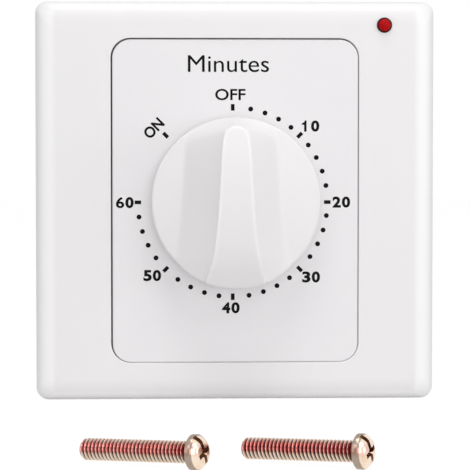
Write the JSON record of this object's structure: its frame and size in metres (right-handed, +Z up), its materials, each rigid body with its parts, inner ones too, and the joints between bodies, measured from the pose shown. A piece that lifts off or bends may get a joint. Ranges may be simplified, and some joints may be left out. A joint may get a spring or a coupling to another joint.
{
  "type": "timer light switch",
  "caption": "Square wall plate with a clockwork timer behind it: a skirted bar knob over a printed dial of minutes, an indicator lamp and a rear terminal housing.",
  "frame": {"origin": "midway between the two wall screw slots, at the back of the base frame", "axes": "+X right and +Z up as the plate hangs on the wall, +Y into the wall"},
  "size_m": [0.086, 0.1228, 0.086],
  "materials": {
    "white_frame": "gloss",
    "white_panel": "satin",
    "white_knob": "gloss",
    "grey_moulding": "matte",
    "dark_moulding": "matte",
    "red_lens": "gloss",
    "lead_sheath": "matte",
    "plate_steel": "satin",
    "wheel_brass": "satin",
    "contact_brass": "satin",
    "contact_silver": "satin",
    "cam_nylon": "matte",
    "plated_screw": "satin",
    "zinc_screw": "satin"
  },
  "bodies": {
    "switch": {"base_frame": "grey_moulding", "centre_panel": "white_panel", "rear_housing": "grey_moulding", "housing_screws": "zinc_screw", "front_plate": "plate_steel", "back_plate": "plate_steel", "plate_pillars": "plate_steel", "movement_screws": "zinc_screw", "mainspring": "plate_steel", "indicator_lamp": "red_lens", "indicator_lead": "lead_sheath", "contact_block": "dark_moulding", "contact_blade": "contact_brass", "fixed_blade": "contact_brass", "contact_points": "contact_silver", "line_strip": "contact_brass", "load_strip": "contact_brass", "line_terminal": "contact_brass", "neutral_terminal": "contact_brass", "load_terminal": "contact_brass", "terminal_screws": "zinc_screw", "terminal_clamps": "contact_brass", "mounting_screws": "plated_screw"},
    "cover": {"outer_frame": "white_frame"},
    "dial": {"knob": "white_knob", "knob_spring": "plate_steel", "main_shaft": "plate_steel", "clutch_spring": "plate_steel", "clutch_collar": "plate_steel", "cam_disc": "cam_nylon"},
    "going_wheel": {"great_wheel": "wheel_brass"},
    "second_arbor": {"second_pinion": "wheel_brass", "second_wheel": "wheel_brass"},
    "third_arbor": {"third_pinion": "wheel_brass", "third_wheel": "wheel_brass"},
    "fourth_arbor": {"fourth_pinion": "wheel_brass", "fourth_wheel": "wheel_brass"},
    "escape_arbor": {"escape_pinion": "wheel_brass", "escape_wheel": "wheel_brass"},
    "pallet": {"pallet_lever": "plate_steel", "pallet_arbor": "plate_steel"}
  },
  "joints": [
    {"name": "cover_pull", "type": "slide", "parent": "switch", "child": "cover", "axis": [0, -1, 0], "range_m": [0, 0.03]},
    {"name": "dial_turn", "type": "hinge", "parent": "switch", "child": "dial", "pos_m": [0, 0, 0], "axis": [0, 1, 0], "range_deg": [-45, 270], "deforming": ["mainspring", "contact_blade"]},
    {"name": "great_turn", "type": "hinge", "parent": "switch", "child": "going_wheel", "pos_m": [0, 0, 0], "axis": [0, 1, 0], "continuous": true},
    {"name": "second_turn", "type": "hinge", "parent": "switch", "child": "second_arbor", "pos_m": [-0.01212, 0, 0.007], "axis": [0, 1, 0], "continuous": true},
    {"name": "third_turn", "type": "hinge", "parent": "switch", "child": "third_arbor", "pos_m": [-0.0135, 0, -0.00347], "axis": [0, 1, 0], "continuous": true},
    {"name": "fourth_turn", "type": "hinge", "parent": "switch", "child": "fourth_arbor", "pos_m": [-0.00894, 0, -0.01137], "axis": [0, 1, 0], "continuous": true},
    {"name": "escape_turn", "type": "hinge", "parent": "switch", "child": "escape_arbor", "pos_m": [-0.0018, 0, -0.01397], "axis": [0, 1, 0], "continuous": true},
    {"name": "pallet_rock", "type": "hinge", "parent": "switch", "child": "pallet", "pos_m": [0.0044, 0, -0.01397], "axis": [0, 1, 0], "range_deg": [-5.5, 5.5]}
  ],
  "couplings": [
    {"joint": "great_turn", "follows": "escape_turn", "ratio": 0.0016667},
    {"joint": "second_turn", "follows": "escape_turn", "ratio": -0.01},
    {"joint": "third_turn", "follows": "escape_turn", "ratio": 0.05},
    {"joint": "fourth_turn", "follows": "escape_turn", "ratio": -0.25}
  ]
}
